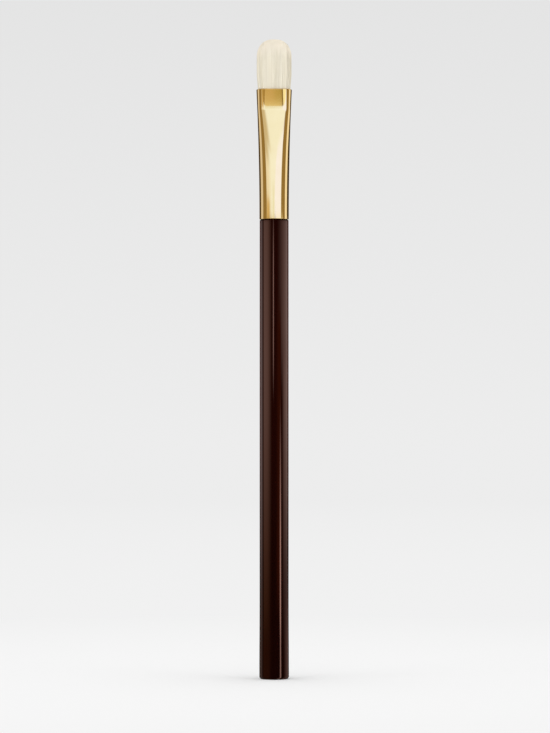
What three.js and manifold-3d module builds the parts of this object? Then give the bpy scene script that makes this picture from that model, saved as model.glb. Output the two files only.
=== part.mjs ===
// Concealer brush: a lacquered wooden handle, a gilt brass ferrule pressed flat towards its mouth, and a
// tongue-shaped tuft of bristles whose tied roots are potted inside the ferrule.
// Millimetres, +Z up along the handle, origin at the centre of the handle's end face, broad side facing -Y.

import * as THREE from "three";
import { mergeGeometries, mergeVertices } from "three/addons/utils/BufferGeometryUtils.js";
import Module from "manifold-3d";

const { lerp, smoothstep, degToRad } = THREE.MathUtils;
const wasm = await Module();
wasm.setup();

// Handle
const handleLength = 111.0; // end face to shoulder
const handleDiameter = 7.0;
const handleEndDiameter = 7.15;
const endFlareLength = 20;
const endEdgeRadius = 0.6;
const shoulderEdgeRadius = 0.2;
const tenonLength = 10;
const tenonChamfer = 0.4;

// Ferrule
const ferruleLength = 31.6;
const ferruleWall = 0.3;
const footDiameter = 7.13;
const footEdgeRadius = 0.12;
const seatGap = 0.1; // between the foot and the handle's shoulder
const mouthWidth = 8.62;
const mouthThickness = 4.98;
const waistThickness = 4.4; // where the press closed the tube, below the lip
const lipHeight = 4.2;
const flarePower = 2; // how late the sides spread
const flattenPower = 3; // how late the faces close in

// Adhesive between tenon and ferrule
const glueThickness = 0.2;
const glueEndInset = 0.5; // the dry stretch at each end of the film
const bondGap = 0.03;

// Potted roots and their binding
const plugLength = 14;
const plugTopDepth = 1.2; // below the mouth
const rootGap = 0.1;
const threadDiameter = 0.36;
const threadTurns = 3;
const threadPitch = 0.85;
const threadGap = 0.15;
const grooveRise = 4; // from the plug's lower end to the groove
const grooveMargin = 0.4; // spare groove at each end of the winding

// Tuft
const tuftReach = 12.3; // above the mouth
const tuftWidth = 8.46;
const tuftThickness = 3.9;
const tipThickness = 1.5;
const tipHeight = 4.84; // the rounded part of the tongue
const tipBevel = 0.14; // how much shorter the outermost layers are
const bevelStart = 4; // above the mouth, where the faces start to close in
const spreadHeight = 4; // above the mouth, where the tuft has swelled to its full section
const bendLimit = 30; // degrees each way
const flexGap = 0.3; // between the tuft's root bead and what it rocks in
const strandPitch = 0.265;
const strandRadius = 0.1;
const strandRootDepth = 0.25;
const strandEdge = 0.15; // from the outermost strand's centre to the edge of the bead
const strandTurn = 2.4; // radians from one strand to the next
const strandTaper = 4; // higher keeps a strand thick nearer its tip
const latticeTurn = 0.2; // radians, so that no rows of strands line up with the faces

// Facets
const roundSegments = 48;
const arcDivisions = 2;
const ferruleRings = 9;
const beadSegments = 32;
const strandSides = 3;
const strandRings = 3;
const threadSteps = 24; // to a turn
const threadSectionDivisions = 3;

// Sizes that follow from those above
const footRadius = footDiameter / 2;
const waistHeight = ferruleLength - lipHeight;
const plugRadius = footRadius - ferruleWall - rootGap;
const plugTop = ferruleLength - plugTopDepth;
const plugBottom = plugTop - plugLength;
const neckRadius = plugRadius - threadDiameter - 2 * threadGap;
const threadPathRadius = neckRadius + threadGap + threadDiameter / 2;
const grooveBottom = plugBottom + grooveRise;
const windingBottom = grooveBottom + grooveMargin + threadDiameter / 2;
const grooveTop = windingBottom + threadTurns * threadPitch + threadDiameter / 2 + grooveMargin;
const tenonRadius = ferruleHalves(tenonLength).halfThickness - ferruleWall - glueThickness;
const beadHalfWidth = mouthWidth / 2 - ferruleWall - flexGap;
const beadRadius = (mouthThickness / 2 - ferruleWall - flexGap) * Math.cos(degToRad(bendLimit));

// Half-width and half-thickness of the ferrule's outside at a height above its foot. The sides spread all the
// way to the mouth. The faces close in to the waist, and the lip opens again.
function ferruleHalves(height) {
  const halfWidth = lerp(footRadius, mouthWidth / 2, (height / ferruleLength) ** flarePower);
  if (height > waistHeight) {
    const opening = (height - waistHeight) / lipHeight;
    return { halfWidth, halfThickness: lerp(waistThickness / 2, mouthThickness / 2, opening) };
  }
  const closing = (height / waistHeight) ** flattenPower;
  return { halfWidth, halfThickness: lerp(footRadius, waistThickness / 2, closing) };
}

// A point of an oblong section whose corners have the smaller half as their radius
function oblongPoint(halfWidth, halfThickness, angle) {
  const radius = Math.min(halfWidth, halfThickness);
  const x = Math.cos(angle);
  const y = Math.sin(angle);
  return new THREE.Vector2(
    Math.sign(x) * (halfWidth - radius) + radius * x,
    Math.sign(y) * (halfThickness - radius) + radius * y,
  );
}

// A point at a depth inside the pressed ferrule, where the round tube had this radius
function pressedPoint(radius, height, angle) {
  const { halfWidth, halfThickness } = ferruleHalves(height);
  const depth = footRadius - radius;
  return oblongPoint(halfWidth - depth, halfThickness - depth, angle);
}

// Turns a profile of radius against height about +Z. Half a step of turn keeps corners off the X and Y planes.
function turned(profile) {
  const halfStep = Math.PI / roundSegments;
  return new THREE.LatheGeometry(profile, roundSegments, halfStep).rotateX(Math.PI / 2);
}

// Presses a round turning flat with the ferrule. Points on the axis stay there.
function pressed(geometry) {
  const position = geometry.getAttribute("position");
  for (let i = 0; i < position.count; i++) {
    const x = position.getX(i);
    const y = position.getY(i);
    const radius = Math.hypot(x, y);
    if (radius < bondGap) continue;
    const point = pressedPoint(radius, position.getZ(i), Math.atan2(y, x));
    position.setXY(i, point.x, point.y);
  }
  return geometry;
}

// A solid rod of one radius through these heights
function rodProfile(radius, heights) {
  const wall = heights.map((height) => new THREE.Vector2(radius, height));
  return [new THREE.Vector2(0, heights[0]), ...wall, new THREE.Vector2(0, heights.at(-1))];
}

// Evenly spaced heights, both ends included
function levels(from, to, count) {
  return Array.from({ length: count + 1 }, (_, i) => lerp(from, to, i / count));
}

// A closed geometry as a solid to join and cut
function solidOf(geometry) {
  const bare = geometry.clone();
  bare.deleteAttribute("normal");
  bare.deleteAttribute("uv");
  const merged = mergeVertices(bare);
  const vertProperties = merged.getAttribute("position").array;
  const triVerts = new Uint32Array(merged.index.array);
  return new wasm.Manifold(new wasm.Mesh({ numProp: 3, vertProperties, triVerts }));
}

function geometryOf(solid) {
  const { vertProperties, triVerts } = solid.getMesh();
  const geometry = new THREE.BufferGeometry();
  geometry.setAttribute("position", new THREE.BufferAttribute(vertProperties, 3));
  geometry.setIndex(new THREE.BufferAttribute(triVerts, 1));
  geometry.computeVertexNormals();
  return geometry;
}

// Handle: a dowel that swells a little to its rounded end, with a tenon for the ferrule
function handleGeometry() {
  const radius = handleDiameter / 2;
  const endRadius = handleEndDiameter / 2;
  const tenonEnd = handleLength + tenonLength;
  const shoulderStart = handleLength - shoulderEdgeRadius;
  const ease = endFlareLength / 3;
  const outline = new THREE.Path();
  outline.moveTo(0, 0);
  outline.lineTo(endRadius - endEdgeRadius, 0);
  outline.absarc(endRadius - endEdgeRadius, endEdgeRadius, endEdgeRadius, -Math.PI / 2, 0, false);
  outline.bezierCurveTo(endRadius, ease, radius, endFlareLength - ease, radius, endFlareLength);
  outline.lineTo(radius, shoulderStart);
  outline.absarc(radius - shoulderEdgeRadius, shoulderStart, shoulderEdgeRadius, 0, Math.PI / 2, false);
  outline.lineTo(tenonRadius, handleLength);
  outline.lineTo(tenonRadius, tenonEnd - tenonChamfer);
  outline.lineTo(tenonRadius - tenonChamfer, tenonEnd);
  outline.lineTo(0, tenonEnd);
  return turned(outline.getPoints(arcDivisions));
}

// Ferrule: a thin tube with a rounded foot, pressed from round to oblong
function ferruleGeometry() {
  const boreRadius = footRadius - ferruleWall;
  const foot = new THREE.Path();
  foot.moveTo(boreRadius, 0);
  foot.lineTo(footRadius - footEdgeRadius, 0);
  foot.absarc(footRadius - footEdgeRadius, footEdgeRadius, footEdgeRadius, -Math.PI / 2, 0, false);
  const heights = [...levels(footEdgeRadius, waistHeight, ferruleRings).slice(1), ferruleLength];
  const outside = heights.map((height) => new THREE.Vector2(footRadius, height));
  const inside = heights.map((height) => new THREE.Vector2(boreRadius, height)).reverse();
  const profile = [...foot.getPoints(arcDivisions), ...outside, ...inside, new THREE.Vector2(boreRadius, 0)];
  return pressed(turned(profile));
}

// Adhesive: the film that fills the ferrule round the tenon
function adhesiveGeometry() {
  const filmRadius = footRadius - ferruleWall - bondGap;
  const filmTop = tenonLength - tenonChamfer - glueEndInset;
  const film = pressed(turned(rodProfile(filmRadius, levels(glueEndInset, filmTop, 3))));
  const tenonHole = turned(rodProfile(tenonRadius + bondGap, [0, tenonLength]));
  return geometryOf(solidOf(film).subtract(solidOf(tenonHole)));
}

// Root plug: the roots set in resin, with a groove for the binding and a hollow top that the tuft rocks in
function plugGeometry() {
  const profile = [
    [0, plugBottom],
    [plugRadius, plugBottom],
    [plugRadius, grooveBottom],
    [neckRadius, grooveBottom],
    [neckRadius, grooveTop],
    [plugRadius, grooveTop],
    [plugRadius, waistHeight],
    [plugRadius, plugTop],
    [0, plugTop],
  ].map(([radius, height]) => new THREE.Vector2(radius, height));
  const hollow = rocker(beadRadius + flexGap).translate(0, 0, ferruleLength);
  return geometryOf(solidOf(pressed(turned(profile))).subtract(solidOf(hollow)));
}

// A cylinder along X, wider than the mouth
function rocker(radius) {
  return new THREE.CylinderGeometry(radius, radius, mouthWidth, beadSegments).rotateZ(Math.PI / 2);
}

// Binding: one unbroken thread wound round the plug's neck
function threadGeometry() {
  const points = [];
  for (let i = 0; i <= threadTurns * threadSteps; i++) {
    const height = windingBottom + (threadPitch * i) / threadSteps;
    const angle = ((i + 0.5) * 2 * Math.PI) / threadSteps;
    const point = pressedPoint(threadPathRadius, height, angle);
    points.push(new THREE.Vector3(point.x, point.y, height));
  }
  console.log(`binding thread: least gap to itself ${leastGap(points).toFixed(2)} mm`);
  const section = new THREE.Shape().absarc(0, 0, threadDiameter / 2, 0, 2 * Math.PI, false);
  return new THREE.ExtrudeGeometry(section, {
    curveSegments: threadSectionDivisions,
    steps: threadTurns * threadSteps,
    extrudePath: new THREE.CatmullRomCurve3(points),
  });
}

// Least clear distance between stretches of the winding over half a turn apart
function leastGap(points) {
  let least = Infinity;
  points.forEach((point, i) => {
    for (const other of points.slice(i + threadSteps / 2)) {
      least = Math.min(least, point.distanceTo(other) - threadDiameter);
    }
  });
  return least;
}

// Tuft, in heights above the mouth: the section swells past the mouth, and its faces close in to the tip
function tuftHalves(height) {
  const swell = smoothstep(height, 0, spreadHeight);
  const bevel = lerp(1, tipThickness / tuftThickness, smoothstep(height, bevelStart, tuftReach));
  return {
    halfWidth: lerp(beadHalfWidth - strandEdge, tuftWidth / 2 - strandRadius / 2, swell),
    halfThickness: lerp(beadRadius - strandEdge, tuftThickness / 2 - strandRadius / 2, swell) * bevel,
  };
}

// Where a strand stands on its way up: across and through are its place in the section, from -1 to 1
function strandPoint(across, through, height) {
  const { halfWidth, halfThickness } = tuftHalves(Math.max(height, 0));
  return new THREE.Vector3(across * halfWidth, through * halfThickness, height);
}

// The tongue's outline gives each strand its reach. Outer layers are cut back.
function strandReach(across, through) {
  const dome = tipHeight * (1 - Math.sqrt(Math.max(1 - across ** 2, 0)));
  return (tuftReach - dome) * (1 - tipBevel * through ** 2);
}

function strandGeometry(across, through, turn) {
  const reach = strandReach(across, through);
  const length = reach + strandRootDepth;
  const geometry = new THREE.ConeGeometry(strandRadius, length, strandSides, strandRings);
  geometry.rotateX(Math.PI / 2).rotateZ(turn).translate(0, 0, reach - length / 2);
  const position = geometry.getAttribute("position");
  for (let i = 0; i < position.count; i++) {
    const along = (position.getZ(i) + strandRootDepth) / length;
    const fullness = along < 1 ? (1 - along ** strandTaper) / (1 - along) : 0;
    const spine = strandPoint(across, through, position.getZ(i));
    position.setXY(i, spine.x + fullness * position.getX(i), spine.y + fullness * position.getY(i));
  }
  return geometry;
}

// Strands stand on a close-packed lattice inside the oblong root
function strandGeometries() {
  const { halfWidth, halfThickness } = tuftHalves(0);
  const straight = halfWidth - halfThickness;
  const span = Math.ceil((2 * halfWidth) / strandPitch);
  const centre = new THREE.Vector2();
  const strands = [];
  for (let i = -span; i <= span; i++) {
    for (let j = -span; j <= span; j++) {
      const root = new THREE.Vector2(i + j / 2, j * Math.sin(Math.PI / 3)).multiplyScalar(strandPitch);
      root.rotateAround(centre, latticeTurn);
      if (Math.hypot(Math.max(Math.abs(root.x) - straight, 0), root.y) > halfThickness) continue;
      strands.push(strandGeometry(root.x / halfWidth, root.y / halfThickness, strands.length * strandTurn));
    }
  }
  console.log(`bristle tuft: ${strands.length} strands`);
  return strands;
}

function tuftGeometry() {
  const straight = beadHalfWidth - beadRadius;
  const oblong = new THREE.Shape();
  oblong.absarc(straight, 0, beadRadius, -Math.PI / 2, Math.PI / 2, false);
  oblong.absarc(-straight, 0, beadRadius, Math.PI / 2, (3 * Math.PI) / 2, false);
  const block = new THREE.ExtrudeGeometry(oblong, {
    curveSegments: beadSegments / 4,
    depth: beadRadius,
    bevelEnabled: false,
  }).translate(0, 0, -beadRadius);
  const bead = solidOf(block).intersect(solidOf(rocker(beadRadius)));
  return geometryOf(bead.add(solidOf(mergeGeometries(strandGeometries()))));
}

// Assembly
function piece(name, geometry, color, roughness, metalness) {
  const mesh = new THREE.Mesh(geometry, new THREE.MeshStandardMaterial({ color, roughness, metalness }));
  mesh.name = name;
  return mesh;
}

const tuft = new THREE.Group();
tuft.name = "tuft";
tuft.position.z = ferruleLength;
tuft.add(piece("bristle_tuft", tuftGeometry(), 0xefe6d0, 0.75, 0));

const head = new THREE.Group();
head.name = "head";
head.position.z = handleLength + seatGap;
head.add(piece("ferrule", ferruleGeometry(), 0xd9a441, 0.18, 1));
head.add(piece("root_plug", plugGeometry(), 0xc7ac74, 0.4, 0));
head.add(piece("binding_thread", threadGeometry(), 0xe9e3d4, 0.9, 0));
head.add(tuft);

const film = piece("handle_adhesive", adhesiveGeometry(), 0xd8cba0, 0.35, 0);
film.position.z = handleLength + seatGap;

const brush = new THREE.Group();
brush.name = "concealer_brush";
brush.add(piece("handle", handleGeometry(), 0x2a120d, 0.15, 0));
brush.add(film);
brush.add(head);

export default brush;
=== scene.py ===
import math

import bpy
import numpy as np
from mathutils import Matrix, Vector


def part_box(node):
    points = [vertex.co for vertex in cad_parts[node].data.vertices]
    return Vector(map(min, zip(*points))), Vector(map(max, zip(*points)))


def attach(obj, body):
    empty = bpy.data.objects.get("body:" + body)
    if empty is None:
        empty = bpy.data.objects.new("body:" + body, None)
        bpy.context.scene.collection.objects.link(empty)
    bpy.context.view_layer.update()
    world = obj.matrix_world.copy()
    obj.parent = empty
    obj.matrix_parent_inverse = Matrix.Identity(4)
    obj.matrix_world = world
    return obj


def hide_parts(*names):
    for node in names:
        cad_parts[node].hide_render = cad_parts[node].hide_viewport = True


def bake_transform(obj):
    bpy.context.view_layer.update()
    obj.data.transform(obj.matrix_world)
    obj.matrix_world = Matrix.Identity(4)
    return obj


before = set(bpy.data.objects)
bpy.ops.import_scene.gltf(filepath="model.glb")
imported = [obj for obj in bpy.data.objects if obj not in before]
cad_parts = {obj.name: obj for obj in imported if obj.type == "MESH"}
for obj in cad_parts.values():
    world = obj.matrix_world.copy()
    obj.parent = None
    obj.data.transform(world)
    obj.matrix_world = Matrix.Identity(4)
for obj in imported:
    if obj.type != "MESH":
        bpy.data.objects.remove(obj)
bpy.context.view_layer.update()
scene = bpy.context.scene
mm = 0.001
sharpAngle = math.radians(40)  # corners sharper than this stay crisp
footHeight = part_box("ferrule")[0].z / mm
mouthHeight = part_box("ferrule")[1].z / mm
print("frame loaded: ferrule from", round(footHeight, 2), "to", round(mouthHeight, 2), "mm")


# straight from low to high
def lerp(low, high, part):
    return low + (high - low) * part


# 0 below low, 1 above high, and the cubic 3p^2 - 2p^3 between
def smooth(value, low, high):
    part = np.clip((value - low) / (high - low), 0, 1)
    return part * part * (3 - 2 * part)


# angles of even steps round a circle, all moved on by a part of a step
def fullTurn(steps, shift=0):
    return (np.arange(steps) + shift) * 2 * np.pi / steps


# a mesh object from points in millimetres
def addMesh(name, points, faces):
    mesh = bpy.data.meshes.new(name)
    mesh.from_pydata((points.reshape(-1, 3) * mm).tolist(), [], faces)
    mesh.shade_smooth()
    mesh.set_sharp_from_angle(angle=sharpAngle)
    made = bpy.data.objects.new(name, mesh)
    scene.collection.objects.link(made)
    return made


# a value on every point of a mesh, for its finish to read
def storeValues(piece, name, values, kind="FLOAT", key="value"):
    stored = piece.data.attributes.new(name, kind, "POINT")
    stored.data.foreach_set(key, values.astype(np.float32).ravel())


# quads between neighbouring rings of a (ring, around) grid of points; a ring joins back to its start, and the
# last ring to the first, where asked
def ringQuads(ringCount, around, joinEnds=False, joinAround=True):
    ring = np.arange(ringCount if joinEnds else ringCount - 1)[:, None]
    step = np.arange(around if joinAround else around - 1)[None, :]
    above, beside = (ring + 1) % ringCount, (step + 1) % around
    corners = [ring * around + step, ring * around + beside, above * around + beside, above * around + step]
    return np.stack(np.broadcast_arrays(*corners), -1).reshape(-1, 4)


# a skin over rings of points; its ends are fans to a middle point, unless the last ring joins the first
def ringSkin(name, rings, joinEnds=False):
    ringCount, around = rings.shape[:2]
    points = rings.reshape(-1, 3)
    faces = ringQuads(ringCount, around, joinEnds).tolist()
    if not joinEnds:
        points = np.concatenate([points, rings[[0, -1]].mean(1)])
        step = np.arange(around)
        beside = (step + 1) % around
        low, high = np.full(around, len(points) - 2), np.full(around, len(points) - 1)
        top = (ringCount - 1) * around
        faces += np.stack([low, beside, step], -1).tolist()
        faces += np.stack([high, top + step, top + beside], -1).tolist()
    return addMesh(name, points, faces)


# wraps a socket, so that shader maths reads as a plain expression
class Wire:
    def __init__(self, bench, socket):
        self.bench, self.socket = bench, socket

    def work(self, operation, first, second):
        return self.bench.node("Math", {"operation": operation}, {0: first, 1: second})

    def __add__(self, other):
        return self.work("ADD", self, other)

    def __radd__(self, other):
        return self.work("ADD", other, self)

    def __mul__(self, other):
        return self.work("MULTIPLY", self, other)

    def __rmul__(self, other):
        return self.work("MULTIPLY", other, self)


# one node tree, whose nodes all come from the node method
class Bench:
    def __init__(self, owner):
        owner.use_nodes = True
        self.tree = owner.node_tree
        self.tree.nodes.clear()

    # settings are set first; a socket takes a value or a link
    def node(self, kind, settings=None, sockets=None, output=0):
        made = self.tree.nodes.new("ShaderNode" + kind)
        for key, value in (settings or {}).items():
            setattr(made, key, value)
        for key, value in (sockets or {}).items():
            if isinstance(value, Wire):
                self.tree.links.new(value.socket, made.inputs[key])
            else:
                made.inputs[key].default_value = value
        return Wire(self, made.outputs[output]) if made.outputs else None

    # Object coordinates in millimetres, stretched by a scale for each axis
    def place(self, scale=(1, 1, 1)):
        coords = self.node("TexCoord", output="Object")
        return self.node("Mapping", {}, {"Vector": coords, "Scale": tuple(s / mm for s in scale)})

    # a value stored on the mesh's points
    def stored(self, name, output="Fac"):
        return self.node("Attribute", {"attribute_name": name}, output=output)

    def noise(self, place, scale=1, detail=3):
        return self.node("TexNoise", {}, {"Vector": place, "Scale": scale, "Detail": detail})

    # 0 at low, 1 at high and straight between
    def range(self, value, low, high):
        return self.node("MapRange", {}, {"Value": value, "From Min": low, "From Max": high})

    def tint(self, part, first, second):
        first, second = [c if isinstance(c, Wire) else (*c, 1) for c in (first, second)]
        return self.node("Mix", {"data_type": "RGBA"}, {0: part, 6: first, 7: second}, output=2)

    def bump(self, height, strength, distance):
        return self.node("Bump", {}, {"Height": height, "Strength": strength, "Distance": distance * mm})

    def close(self, shader, kind="Material"):
        self.node("Output" + kind, {}, {"Surface": shader})

    def surface(self, sockets):
        self.close(self.node("BsdfPrincipled", {}, sockets))


def newFinish(name):
    finish = bpy.data.materials.new(name)
    return finish, Bench(finish)


def dress(piece, finish):
    piece.data.materials.clear()
    piece.data.materials.append(finish)


# camera: in front of the broad side, level with the middle of the handle and tipped up a little
view = {
    "height": 57.8, "aimHeight": 75.45, "side": 0.21, "distance": 700,
    "frameHeight": 177.58,  # what the picture's long side takes in at the brush
    "sensor": 36, "clipStart": 0.01, "clipEnd": 100,  # the clips are in metres
}

camera = bpy.data.objects.new("camera", bpy.data.cameras.new("camera"))
scene.collection.objects.link(camera)
aimRise = view["aimHeight"] - view["height"]
sightLength = math.hypot(aimRise, view["distance"])
camera.location = (view["side"] * mm, -view["distance"] * mm, view["height"] * mm)
camera.rotation_euler = (math.pi / 2 + math.atan2(aimRise, view["distance"]), 0, 0)
camera.data.sensor_width = view["sensor"]
camera.data.lens = view["sensor"] * sightLength / view["frameHeight"]
camera.data.clip_start = view["clipStart"]
camera.data.clip_end = view["clipEnd"]
scene.camera = camera
print("camera: lens", round(camera.data.lens, 1))


# handle: a dowel that swells a little to its rounded end, with a tenon inside the ferrule
handle = {
    "length": 111.0, "radius": 3.5, "endRadius": 3.566, "flareLength": 20,
    "endEdge": 0.6, "shoulderEdge": 0.2,  # radii of the rounded edges
    "tenonRadius": 2.998, "tenonLength": 10, "tenonChamfer": 0.4,
    "around": 160, "edgeSteps": 14, "wallSteps": 70, "support": 0.04,  # the support keeps an edge tight
    "lacquer": {
        "deep": (0.0050, 0.0006, 0.0003), "warm": (0.0085, 0.0012, 0.0006), "glossTint": (1, 0.7, 0.6, 1),
        "grain": (1.6, 1.6, 0.07), "grainDetail": 5,  # waves to a millimetre, as peel and dust are
        "peel": 1.1, "dust": 6, "fineDetail": 2,
        "roughness": 0.045, "peelRoughness": 0.03, "dustRoughness": 0.02,
        "bump": (0.03, 0.02),  # strength, and depth in millimetres
    },
}


# rings of a turned profile, radius against height: a quarter circle at the end edge, a smoothstep from the
# end's radius to the dowel's over the flare, a straight wall, a quarter circle at the shoulder, and the tenon
def handleRings(size):
    turn = np.linspace(0, np.pi / 2, size["edgeSteps"])
    edge, shoulder, top = size["endEdge"], size["shoulderEdge"], size["length"]
    wall = np.linspace(edge + size["support"], top - shoulder - size["support"], size["wallSteps"])
    tenonTop = top + size["tenonLength"]
    radius = np.concatenate([
        size["endRadius"] - edge + edge * np.sin(turn),
        lerp(size["endRadius"], size["radius"], smooth(wall, edge, size["flareLength"])),
        size["radius"] - shoulder + shoulder * np.cos(turn),
        [size["tenonRadius"], size["tenonRadius"], size["tenonRadius"] - size["tenonChamfer"]],
    ])
    height = np.concatenate([
        edge - edge * np.cos(turn),
        wall,
        top - shoulder + shoulder * np.sin(turn),
        [top, tenonTop - size["tenonChamfer"], tenonTop],
    ])
    angle = fullTurn(size["around"])
    places = [np.outer(radius, np.cos(angle)), np.outer(radius, np.sin(angle)), height[:, None]]
    return np.stack(np.broadcast_arrays(*places), -1)


# dark gloss: grain along the handle tints it, and peel and dust vary the gloss
def lacquerFinish(look):
    finish, bench = newFinish("darkLacquer")
    grain = bench.noise(bench.place(look["grain"]), 1, look["grainDetail"])
    peel = bench.noise(bench.place(), look["peel"], look["fineDetail"])
    dust = bench.noise(bench.place(), look["dust"], look["fineDetail"])
    bench.surface({
        "Base Color": bench.tint(grain, look["deep"], look["warm"]),
        "Roughness": look["roughness"] + look["peelRoughness"] * peel + look["dustRoughness"] * dust,
        "Normal": bench.bump(peel, *look["bump"]),
        "Specular Tint": look["glossTint"],
    })
    return finish


lacqueredHandle = ringSkin("lacqueredHandle", handleRings(handle))
dress(lacqueredHandle, lacquerFinish(handle["lacquer"]))
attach(lacqueredHandle, "brush")
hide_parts("handle")
print("handle:", len(lacqueredHandle.data.polygons), "faces")


# ferrule: a thin tube pressed from round at its foot to oblong at its mouth, with a waist below the lip
ferrule = {
    "length": mouthHeight - footHeight, "wall": 0.3, "footRadius": 3.565, "footEdge": 0.05,
    "mouthHalfWidth": 4.31, "mouthHalfThickness": 2.50, "waistHalfThickness": 2.10, "lipHeight": 5.2,
    "flarePower": 2, "flattenPower": 3, "lipPower": 1.25, "creaseSoftness": 0.05,
    "around": 288, "wallSteps": 150, "boreSteps": 50, "edgeSteps": 8, "support": 0.012,
    # what differs in the bore, which is pressed less than the outside and holds the potted roots
    "bore": {"waistHalfThickness": 2.20, "lipHeight": 4.2, "lipPower": 1, "creaseSoftness": 0},
    "gilt": {
        "deep": (0.90, 0.635, 0.265), "pale": (0.95, 0.695, 0.315),
        "drawn": (7, 7, 0.12), "cloud": 0.35,  # waves to a millimetre
        "roughness": 0.03, "drawnRoughness": 0.025, "cloudRoughness": 0.015,
        "bump": (0.05, 0.01),  # strength, and depth in millimetres
    },
}
bore = ferrule | ferrule["bore"]


# the half-width grows with a power of the height; the half-thickness closes with another up to the waist, and
# the lip opens with a third, like a trumpet. The greater of the last two is taken, softened where they cross.
def ferruleHalves(size, height):
    waist = size["length"] - size["lipHeight"]
    closing = lerp(size["footRadius"], size["waistHalfThickness"], (height / waist) ** size["flattenPower"])
    up = (height - waist) / size["lipHeight"]
    flare = np.sign(up) * np.abs(up) ** size["lipPower"]
    opening = lerp(size["waistHalfThickness"], size["mouthHalfThickness"], flare)
    apart = np.sqrt((closing - opening) ** 2 + size["creaseSoftness"] ** 2)
    spread = (height / size["length"]) ** size["flarePower"]
    halfWidth = lerp(size["footRadius"], size["mouthHalfWidth"], spread)
    return halfWidth, np.minimum((closing + opening + apart) / 2, size["footRadius"])


# an oblong: a circle of the smaller half, pulled apart along the greater one
def oblong(halfWidth, halfThickness, angle):
    corner = np.minimum(halfWidth, halfThickness)
    across = np.sign(np.cos(angle)) * (halfWidth - corner) + corner * np.cos(angle)
    through = np.sign(np.sin(angle)) * (halfThickness - corner) + corner * np.sin(angle)
    return across, through


# rings run up the outside, over the rolled rim, down the bore and across the foot; each has a height, and a
# depth below the pressed surface. Half a step of turn keeps points off the middle planes.
def ferruleRings(size):
    turn = np.linspace(0, np.pi / 2, size["edgeSteps"])
    roll = np.linspace(0, np.pi, 2 * size["edgeSteps"])[1:-1]
    half, foot = size["wall"] / 2, size["footEdge"]
    rim = size["length"] - half
    outside = np.append(np.linspace(foot + size["support"], rim - size["support"], size["wallSteps"]), rim)
    inside = np.linspace(rim, 0, size["boreSteps"])
    height = np.concatenate([foot - foot * np.cos(turn), outside, rim + half * np.sin(roll), inside])
    depth = np.concatenate([
        foot - foot * np.sin(turn),
        np.zeros(len(outside)),
        half - half * np.cos(roll),
        np.full(len(inside), size["wall"]),
    ])
    halfWidth, halfThickness = ferruleHalves(size, height)
    halfThickness[-len(inside):] = ferruleHalves(bore, inside)[1]
    angle = fullTurn(size["around"], 0.5)
    across, through = oblong((halfWidth - depth)[:, None], (halfThickness - depth)[:, None], angle)
    return np.stack(np.broadcast_arrays(across, through, footHeight + height[:, None]), -1)


# polished metal: drawn lines run along the tube, and a soft cloud varies its colour and gloss
def giltFinish(look):
    finish, bench = newFinish("polishedGilt")
    drawn = bench.noise(bench.place(look["drawn"]))
    cloud = bench.noise(bench.place(), look["cloud"])
    bench.surface({
        "Base Color": bench.tint(cloud, look["deep"], look["pale"]),
        "Metallic": 1,
        "Roughness": look["roughness"] + look["drawnRoughness"] * drawn + look["cloudRoughness"] * cloud,
        "Normal": bench.bump(drawn, *look["bump"]),
    })
    return finish


giltFerrule = ringSkin("giltFerrule", ferruleRings(ferrule), joinEnds=True)
dress(giltFerrule, giltFinish(ferrule["gilt"]))
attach(giltFerrule, "brush")
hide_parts("ferrule")
print("ferrule:", len(giltFerrule.data.polygons), "faces")


# binding: one thread wound round the neck of the potted roots
binding = {
    "radius": 2.835, "thickness": 0.36, "turns": 3, "pitch": 0.85,
    "start": 20.98, "startTurn": 0.5 / 24,  # above the foot, and a part of a turn
    "steps": 96, "sides": 16,
    "twist": 0.9, "plies": 2,  # radians from ring to ring
    "yarn": {
        # the shade and light colours of the plies are painted shade in their grooves and painted light on
        # their crowns
        "shade": (0.55, 0.50, 0.40), "light": (0.88, 0.84, 0.74), "plyPaintedShade": 0.6, "fuzzTone": 0.4,
        "fuzz": 9, "fuzzDetail": 4,  # waves to a millimetre
        "roughness": 0.75, "fuzzRoughness": 0.2, "fuzzBump": 0.3,
        "bump": (0.6, 0.04),  # strength, and depth in millimetres
    },
}


# a tube along a helix that is pressed flat with the bore; every ring stands square to the path, turned by the
# path's own direction and the way out from the axis
def threadRings(size):
    step = np.arange(size["turns"] * size["steps"] + 1)
    angle = (step / size["steps"] + size["startTurn"]) * 2 * np.pi
    height = size["start"] + size["pitch"] * step / size["steps"]
    halfWidth, halfThickness = ferruleHalves(bore, height)
    depth = ferrule["footRadius"] - size["radius"]
    across, through = oblong(halfWidth - depth, halfThickness - depth, angle)
    path = np.stack([across, through, footHeight + height], -1)
    along = np.gradient(path, axis=0)
    along /= np.linalg.norm(along, axis=1, keepdims=True)
    up = np.array([0.0, 0.0, 1.0]) - along * along[:, 2:]
    up /= np.linalg.norm(up, axis=1, keepdims=True)
    out = np.cross(along, up)
    turn = fullTurn(size["sides"])[None, :, None]
    return path[:, None] + size["thickness"] / 2 * (np.cos(turn) * out[:, None] + np.sin(turn) * up[:, None])


# angle of the plies at every point of the thread: it grows from ring to ring and round each ring; the two
# middle points of the ends have none
def threadTwist(size, rings):
    ringCount, sides = rings.shape[:2]
    twist = size["twist"] * np.arange(ringCount)[:, None] + size["plies"] * fullTurn(sides)
    return np.append(twist.ravel(), [0, 0])
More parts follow.
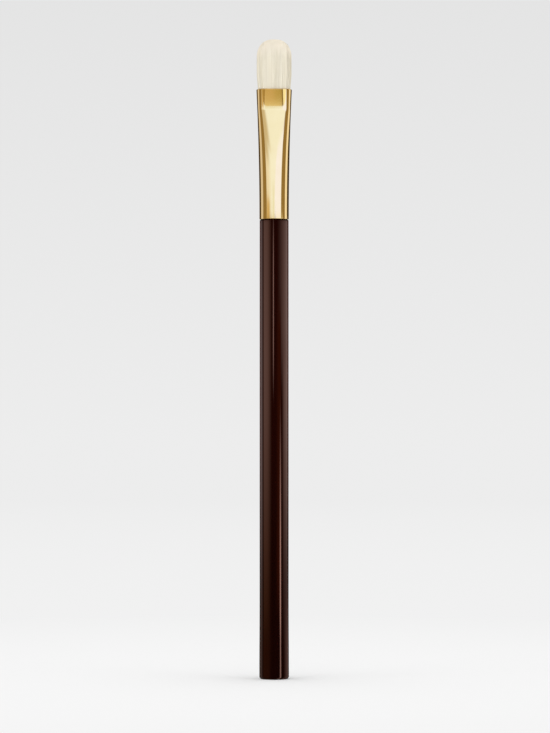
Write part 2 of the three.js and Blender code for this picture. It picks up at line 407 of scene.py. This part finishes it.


# the plies are a sine of the stored twist, with fuzz over them; the plies' colour is painted shade in the
# grooves between them and painted light on their crowns, and the fuzz is a tone that differs at random
def threadFinish(look):
    finish, bench = newFinish("undyedThread")
    ply = 0.5 + 0.5 * bench.node("Math", {"operation": "SINE"}, {0: bench.stored("twist")})
    fuzz = bench.noise(bench.place(), look["fuzz"], look["fuzzDetail"])
    tone = look["plyPaintedShade"] * ply + look["fuzzTone"] * fuzz
    bench.surface({
        "Base Color": bench.tint(tone, look["shade"], look["light"]),
        "Roughness": look["roughness"] + look["fuzzRoughness"] * fuzz,
        "Normal": bench.bump(ply + look["fuzzBump"] * fuzz, *look["bump"]),
    })
    return finish


rings = threadRings(binding)
woundThread = ringSkin("woundThread", rings)
storeValues(woundThread, "twist", threadTwist(binding, rings))
dress(woundThread, threadFinish(binding["yarn"]))
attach(woundThread, "brush")
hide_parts("binding_thread")
print("thread:", len(woundThread.data.polygons), "faces")


# tuft: fine tapered hairs that leave the mouth close-packed, swell over its rim and end in a rounded tongue
tuft = {
    "hairs": 4600, "seed": 7, "rings": 7, "sides": 3, "hairRadius": 0.062, "tipRadius": 0.03, "taperPower": 5,
    "reach": 12.3, "rootDepth": 1.0, "rootHalfWidth": 3.93, "rootHalfThickness": 2.11,
    "widthTaper": 0.045, "thicknessTaper": 0.09,  # how much the root narrows to a millimetre of depth
    "halfWidth": 4.235, "halfThickness": 2.02, "swellStart": -0.2, "swellHeight": 4,
    "tipHalfThickness": 0.75, "tipHeight": 4.84, "domePower": 2.4, "tipBevel": 0.14, "bevelStart": 3,
    "spacing": (0.7548776662, 0.5698402910), "jitter": (0.012, 0.02),  # across and through
    "locks": 70, "lockPull": 0.04, "lockPower": 2, "lockStretch": 2, "lockTone": 0.12,
    "wander": 0.03, "waves": (2, 6), "waveStart": (0, 6), "lengthSpread": 0.016,
    "cream": {
        "shade": (0.805, 0.745, 0.605), "light": (0.865, 0.815, 0.68),
        # the tip colour is a painted highlight where light from above catches the hair tips, and the root
        # colour is painted shade where the ferrule's mouth closes round them
        "tip": (0.95, 0.885, 0.76), "tipHighlightRange": (0.78, 1), "root": (0.66, 0.57, 0.42), "rootShadeRange": (0, 0.1),
        "fleck": (6, 6, 0.5),  # waves to a millimetre
        "hairTone": 0.75, "fleckTone": 0.25,
        "roughness": 0.42, "fleckRoughness": 0.2, "specular": 0.08, "sheen": 0.35, "sheenRoughness": 0.4,
    },
}


# half-width and half-thickness of the tuft at a height above the mouth: inside, it narrows with the lip;
# above, it swells over the rim, and its faces close in towards the tip
def tuftHalves(size, height):
    swell = smooth(height, size["swellStart"], size["swellHeight"])
    depth = np.minimum(height, 0)
    rootWidth = size["rootHalfWidth"] + size["widthTaper"] * depth
    rootThickness = size["rootHalfThickness"] + size["thicknessTaper"] * depth
    thin = size["tipHalfThickness"] / size["halfThickness"]
    bevel = lerp(1, thin, smooth(height, size["bevelStart"], size["reach"]))
    halfWidth = lerp(rootWidth, size["halfWidth"], swell)
    return halfWidth, lerp(rootThickness, size["halfThickness"], swell) * bevel


# hairs: their places step by powers of the plastic number, which spreads them evenly, and those inside the
# oblong root are kept. A hair climbs with the tuft's section, leans to the middle of its lock and wanders a
# little. Its reach follows the tongue's blunt dome, a superellipse, and one flat side of it faces outwards.
def hairRings(size):
    rng = np.random.default_rng(size["seed"])
    number = np.arange(size["hairs"] * 2)
    across, through = [
        2 * ((number * spacing) % 1) - 1 + rng.normal(0, jitter, len(number))
        for spacing, jitter in zip(size["spacing"], size["jitter"])
    ]
    straight = 1 - size["halfThickness"] / size["halfWidth"]
    corner = np.maximum(np.abs(across) - straight, 0) / (1 - straight)
    inside = np.flatnonzero(np.hypot(corner, through) < 1)[:size["hairs"]]
    across, through = across[inside, None], through[inside, None]

    side = np.clip(np.abs(across), 0, 1)
    dome = size["tipHeight"] * (1 - (1 - side ** size["domePower"]) ** (1 / size["domePower"]))
    reach = (size["reach"] - dome) * (1 - size["tipBevel"] * through ** 2)
    reach = reach * (1 - np.abs(rng.normal(0, size["lengthSpread"], reach.shape)))
    along = np.linspace(0, 1, size["rings"])[None, :]
    height = along * (reach + size["rootDepth"]) - size["rootDepth"]

    lock = rng.permutation(len(across))[:size["locks"]]
    away = np.hypot((across - across[lock].T) * size["lockStretch"], through - through[lock].T)
    nearest = lock[np.argmin(away, 1)]
    lean = size["lockPull"] * along ** size["lockPower"]
    halfWidth, halfThickness = tuftHalves(size, height)
    x = lerp(across, across[nearest], lean) * halfWidth
    y = lerp(through, through[nearest], lean) * halfThickness
    wave = along * rng.uniform(*size["waves"], reach.shape) + rng.uniform(*size["waveStart"], reach.shape)
    sway = size["wander"] * along * np.sin(wave)
    heading = rng.uniform(0, 2 * np.pi, reach.shape)
    x = np.clip(x + sway * np.cos(heading), -size["halfWidth"], size["halfWidth"])
    y = y + sway * np.sin(heading)

    bulge = np.sign(across) * np.maximum(np.abs(across) - straight, 0) * size["halfWidth"]
    facing = np.arctan2(through * size["halfThickness"], bulge)[..., None]
    turn = facing + fullTurn(size["sides"], 0.5)
    thick = lerp(size["hairRadius"], size["tipRadius"], along ** size["taperPower"])[..., None]
    z = mouthHeight + height[..., None]
    around = [x[..., None] + thick * np.cos(turn), y[..., None] + thick * np.sin(turn), z]
    ownTone, lockTone = rng.uniform(0, 1, (2, len(across)))
    tone = lerp(ownTone, lockTone[nearest], size["lockTone"])
    return np.stack(np.broadcast_arrays(*around), -1), tone, along


# every hair is a small skin of its own: quads up its sides and a closed triangle at each end
def hairMesh(name, rings):
    hairs, ringCount, sides = rings.shape[:3]
    first = (np.arange(hairs) * ringCount * sides)[:, None, None]
    quads = (first + ringQuads(ringCount, sides)[None]).reshape(-1, 4)
    roots = first[:, 0] + np.arange(sides)[::-1]
    tips = first[:, 0] + (ringCount - 1) * sides + np.arange(sides)
    return addMesh(name, rings, quads.tolist() + roots.tolist() + tips.tolist())


# every hair has a tone of its own and flecks along it; its darker root is painted shade where the ferrule's
# mouth closes round the hairs, and its paler tip is a painted highlight where light from above catches the
# tips
def hairFinish(look):
    finish, bench = newFinish("creamBristle")
    along = bench.stored("along")
    fleck = bench.noise(bench.place(look["fleck"]))
    tone = look["hairTone"] * bench.stored("tone") + look["fleckTone"] * fleck
    colour = bench.tint(tone, look["shade"], look["light"])
    withPaintedTipHighlight = bench.tint(bench.range(along, *look["tipHighlightRange"]), colour, look["tip"])
    bench.surface({
        "Base Color": bench.tint(bench.range(along, *look["rootShadeRange"]), look["root"], withPaintedTipHighlight),
        "Roughness": look["roughness"] + look["fleckRoughness"] * fleck,
        "Specular IOR Level": look["specular"],
        "Sheen Weight": look["sheen"],
        "Sheen Roughness": look["sheenRoughness"],
    })
    return finish


rings, tone, along = hairRings(tuft)
bristles = hairMesh("bristles", rings)
storeValues(bristles, "tone", np.repeat(tone, tuft["rings"] * tuft["sides"]))
storeValues(bristles, "along", np.tile(np.repeat(along[0], tuft["sides"]), len(tone)))
dress(bristles, hairFinish(tuft["cream"]))
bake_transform(bristles)
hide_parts("bristle_tuft")
print("tuft:", len(tone), "hairs,", len(bristles.data.polygons), "faces")


# the two cast pieces inside the ferrule keep their solids: resin round the roots, and glue on the tenon
castings = {
    "cloud": 0.7, "cloudDetail": 4, "cloudRoughness": 0.15, "refraction": 1.52,
    "bubbles": 2.2, "pit": (0.1, 0.25),  # bubbles to a millimetre, and how far their pits reach
    "bump": (0.4, 0.05),  # strength, and depth in millimetres
    "nodes": {
        "root_plug": {
            "finish": "amberResin", "deep": (0.44, 0.29, 0.10), "pale": (0.66, 0.50, 0.23), "roughness": 0.22,
        },
        "handle_adhesive": {
            "finish": "clearGlue", "deep": (0.60, 0.50, 0.27), "pale": (0.76, 0.68, 0.43), "roughness": 0.18,
        },
    },
}


# cloudy inside, with round pits where bubbles reach the surface
def castFinish(look):
    finish, bench = newFinish(look["finish"])
    cloud = bench.noise(bench.place(), look["cloud"], look["cloudDetail"])
    bubble = bench.node("TexVoronoi", {}, {"Vector": bench.place(), "Scale": look["bubbles"]})
    bench.surface({
        "Base Color": bench.tint(cloud, look["deep"], look["pale"]),
        "Roughness": look["roughness"] + look["cloudRoughness"] * cloud,
        "Normal": bench.bump(bench.range(bubble, *look["pit"]), *look["bump"]),
        "IOR": look["refraction"],
    })
    return finish


for node, look in castings["nodes"].items():
    dress(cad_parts[node], castFinish(castings | look))
print("cast pieces:", len(castings["nodes"]))


# floor and backdrop: pale, and seen as that in metal too; the floor keeps the shadow of the brush
backdrop = {
    "top": 0.775, "horizon": 0.845, "near": 0.885, "ambient": 1.10, "paper": 0.81,  # grey levels
    "rise": 0.16,  # how far up the sky the horizon's grey has gone
    "floorReach": 30, "glowReach": 2, "shadowReach": (0.05, 0.25),  # metres from the brush
}


def grey(name):
    return [backdrop[name]] * 3


# how much a ray shows the backdrop: camera, glossy and transmission rays
def seenRay(bench):
    kinds = ("Is Camera Ray", "Is Glossy Ray", "Is Transmission Ray")
    rays = [bench.node("LightPath", output=kind) for kind in kinds]
    return bench.node("Clamp", {}, {"Value": rays[0] + rays[1] + rays[2]})


# a sky that darkens upwards where it is seen, and an even light elsewhere
def skyWorld():
    world = scene.world or bpy.data.worlds.new("backdrop")
    bench = Bench(world)
    coords = bench.node("TexCoord", output="Generated")
    up = bench.node("SeparateXYZ", {}, {"Vector": coords}, output="Z")
    sky = bench.tint(bench.range(up, 0, backdrop["rise"]), grey("horizon"), grey("top"))
    light = bench.tint(seenRay(bench), grey("ambient"), sky)
    bench.close(bench.node("Background", {}, {"Color": light}), "World")
    return world


# paper near the brush, where the shadow falls, and further off a glow that fades into the horizon
def floorFinish():
    finish, bench = newFinish("paleFloor")
    coords = bench.node("TexCoord", output="Object")
    away = bench.node("VectorMath", {"operation": "LENGTH"}, {0: coords}, output="Value")
    paper = bench.node("BsdfDiffuse", {}, {"Color": (*grey("paper"), 1)})
    glow = bench.tint(bench.range(away, 0, backdrop["glowReach"]), grey("near"), grey("horizon"))
    plain = bench.node("Emission", {}, {"Color": glow})
    fade = bench.range(away, *backdrop["shadowReach"])
    bench.close(bench.node("MixShader", {}, {0: fade * seenRay(bench), 1: paper, 2: plain}))
    return finish


scene.world = skyWorld()
floorCorners = np.array([[-1, -1, 0], [1, -1, 0], [1, 1, 0], [-1, 1, 0]]) * backdrop["floorReach"] / mm
floor = addMesh("floor", floorCorners, [[0, 1, 2, 3]])
dress(floor, floorFinish())
floor.visible_glossy = False
print("backdrop: floor", 2 * backdrop["floorReach"], "m across")


# light tents: drums of glowing cards that show only in gloss, a near one round the handle and a wide one for
# the ferrule. A card has the azimuths where it starts to show, is full, starts to fade and is gone, the same
# in heights, and a colour. Azimuth 0 faces the camera's side and grows to the right.
allRound = (-181, -180, 180, 181)
fromBelow = (-501, -500)
anyHeight = (*fromBelow, 500, 501)
underSwell = (*fromBelow, 4, 30)  # what the handle's end mirrors
footMirror = (136.9, 137.8)  # what the ferrule's foot mirrors; its tube mirrors what is above, its lip below
inTube = (*footMirror, 300, 335)
inLip = (*fromBelow, *footMirror)
lowInLip = (*fromBelow, 96, 118)
leftBand = (-98, -80, -62, -15)
leftEdge = (-145, -126, -112, -96)
brightLine = (42.5, 48.5, 51.5, 57.5)
dimGold = (0.31, 0.23, 0.10)
darkGold = (0.06, 0.045, 0.025)
tents = {
    "handleTent": {
        "sheer": True, "radius": 60, "heights": (-60, 115.25), "caps": (-60,), "steps": (721, 140),
        "base": (0.012, 0.006, 0.003),
        "cards": [
            (allRound, (15, 70, 130, 140), (0.13, 0.02, 0.01)),
            (leftBand, (-30, 40, 100, 190), (0.68, 0.33, 0.16)),
            (leftBand, (10, 84, 90, 190), (1.95, 1.42, 1.25)),
            (leftEdge, (-20, 60, 80, 190), (1.0, 0.82, 0.8)),
            ((18, 93, 116, 140), (66, 88, 96, 190), (1.65, 1.25, 1.12)),
            ((62, 88, 116, 140), (-6, 72, 74, 94), (1.65, 1.22, 1.08)),
            ((74, 108, 130, 150), underSwell, (0.60, 0.37, 0.32)),
            (leftBand, (*fromBelow, 0, 16), (0.23, 0.09, 0.035)),
            (leftEdge, underSwell, (0.40, 0.30, 0.26)),
            ((10, 40, 50, 58), (8, 24, 84, 100), (0.45, 0.10, 0.03)),
            ((45.5, 49, 51, 54.5), (-80, -70, 6, 14), (7.6, 5.8, 5.4)),
            (brightLine, (4, 12, 24, 72), (8.2, 6.2, 5.6)),
            (brightLine, (-30, -14, -2, 12), (4.9, 3.8, 3.5)),
            ((-11, -7, -4, -1), (66, 86, 100, 122), (4.4, 3.4, 3.2)),
        ],
    },
    "ferruleTent": {
        "sheer": False, "radius": 350, "heights": (-420, 430), "caps": (-420, 430), "steps": (721, 900),
        "base": dimGold,
        "cards": [
            ((-72, -58, -20, -12), anyHeight, (0.42, 0.31, 0.12)),
            ((-20, -12, 2, 3), anyHeight, (0.63, 0.51, 0.29)),
            ((-0.6, 0.6, 2, 3), anyHeight, (0.53, 0.45, 0.20)),
            ((-24, -14, 2, 3), (119, 137, 300, 335), (0.78, 0.73, 0.52)),
            ((1.4, 2.4, 12.5, 15.5), anyHeight, (0.24, 0.17, 0.04)),
            ((12, 16, 68, 76), inLip, (1.05, 1.13, 1.02)),
            ((-75, -20, 20, 75), lowInLip, (0.80, 0.72, 0.52)),
            ((-72, -66, 62, 72), inTube, dimGold),
            ((-62, -57, 46, 50), inTube, (0.66, 0.66, 0.66)),
            ((-62, -57, 54, 58), (*footMirror, 165, 185), (0.90, 0.98, 1.22)),
            ((-50, -10, 51, 55), (*footMirror, 190, 210), (1.0, 1.24, 1.85)),
            ((-35, 3, 43, 48), inTube, (1.0, 1.24, 1.85)),
            ((-2, 10, 50, 55), (*footMirror, 190, 230), (1.04, 1.27, 2.35)),
            ((-14, -9, -1, 4), (*footMirror, 150, 170), (0.92, 1.12, 1.50)),
            ((-62, -57, -42, -26), (*footMirror, 142, 149), (0.70, 0.58, 0.36)),
            ((-124, -121, -97, -93), anyHeight, (0.76, 0.76, 0.85)),
            ((90, 95, 122, 127), anyHeight, (1.0, 1.02, 1.1)),
            ((-166, -158, -128, -124), anyHeight, darkGold),
            ((116, 121, 158, 166), (*footMirror, 158, 172), darkGold),
            ((126, 130, 158, 166), anyHeight, darkGold),
            ((-182, -181, -176, -166), anyHeight, (0.8, 0.8, 0.8)),
            ((166, 176, 181, 182), anyHeight, (0.8, 0.8, 0.8)),
        ],
    },
}
passingRays = ("camera", "diffuse", "transmission", "shadow", "volume_scatter")  # they miss the drums


# how much of a card shows: a smooth rise between its first two marks and a smooth fall between its last two
def cardPart(value, marks):
    return smooth(value, *marks[:2]) * (1 - smooth(value, *marks[2:]))


# colour at an azimuth and a height: the base, covered by each card in turn
def tentColours(size, azimuth, height):
    colours = np.broadcast_to(np.array(size["base"]), (*azimuth.shape, 3))
    for across, up, colour in size["cards"]:
        part = cardPart(azimuth, across) * cardPart(height, up)
        colours = lerp(colours, np.array(colour), part[..., None])
    return colours


# cards glow in the gloss of what they light; the near drum's are a sheer film, so that other gloss sees past
def cardFinish(name, sheer):
    finish, bench = newFinish(name)
    shader = bench.node("Emission", {}, {"Color": bench.stored("glow", "Color")})
    if sheer:
        film = bench.node("BsdfTransparent", {}, {"Color": (1, 1, 1, 1)})
        shader = bench.node("AddShader", {}, {0: shader, 1: film})
    bench.close(shader)
    finish.cycles.emission_sampling = "NONE"
    return finish


# a drum: its points lie on a circle at each height, and the circles at its caps are drawn in to a point
def addTent(name, size):
    around, up = size["steps"]
    azimuth, height = np.meshgrid(np.linspace(-180, 180, around), np.linspace(*size["heights"], up))
    aim = np.radians(azimuth)
    radius = np.where(np.isin(height, size["caps"]), 0, size["radius"])
    wall = np.stack([radius * np.sin(aim), -radius * np.cos(aim), height], -1)
    made = addMesh(name, wall, ringQuads(up, around, joinAround=False).tolist())
    glow = np.concatenate([tentColours(size, azimuth, height), np.ones((*azimuth.shape, 1))], -1)
    storeValues(made, "glow", glow, "FLOAT_COLOR", "color")
    dress(made, cardFinish(name + "Cards", size["sheer"]))
    for ray in passingRays:
        setattr(made, "visible_" + ray, False)
    return made


# light linking: the near drum lights the handle alone, and the wide one everything else
for name, size in tents.items():
    tent = addTent(name, size)
    lit = bpy.data.collections.new(name + "Lit")
    lit.objects.link(lacqueredHandle)
    lit.collection_objects[0].light_linking.link_state = "INCLUDE" if size["sheer"] else "EXCLUDE"
    tent.light_linking.receiver_collection = lit
    print(name + ":", len(size["cards"]), "cards")


# soft lamps for everything that isn't gloss, in metres and watts
lamps = {
    "keyLamp": {"place": (-0.85, -0.5, 0.5), "size": 0.8, "power": 1.0},
    "fillLamp": {"place": (0.88, -0.36, 0.38), "size": 0.8, "power": 0.9},
}
lampAim = Vector((0, 0, 0.1))

for name, lamp in lamps.items():
    data = bpy.data.lights.new(name, "AREA")
    data.shape, data.size, data.energy = "DISK", lamp["size"], lamp["power"]
    made = bpy.data.objects.new(name, data)
    made.location = lamp["place"]
    made.rotation_euler = (lampAim - made.location).to_track_quat("-Z", "Y").to_euler()
    made.visible_glossy = False
    scene.collection.objects.link(made)
print("lamps:", len(lamps))

scene.view_settings.view_transform = "Standard"
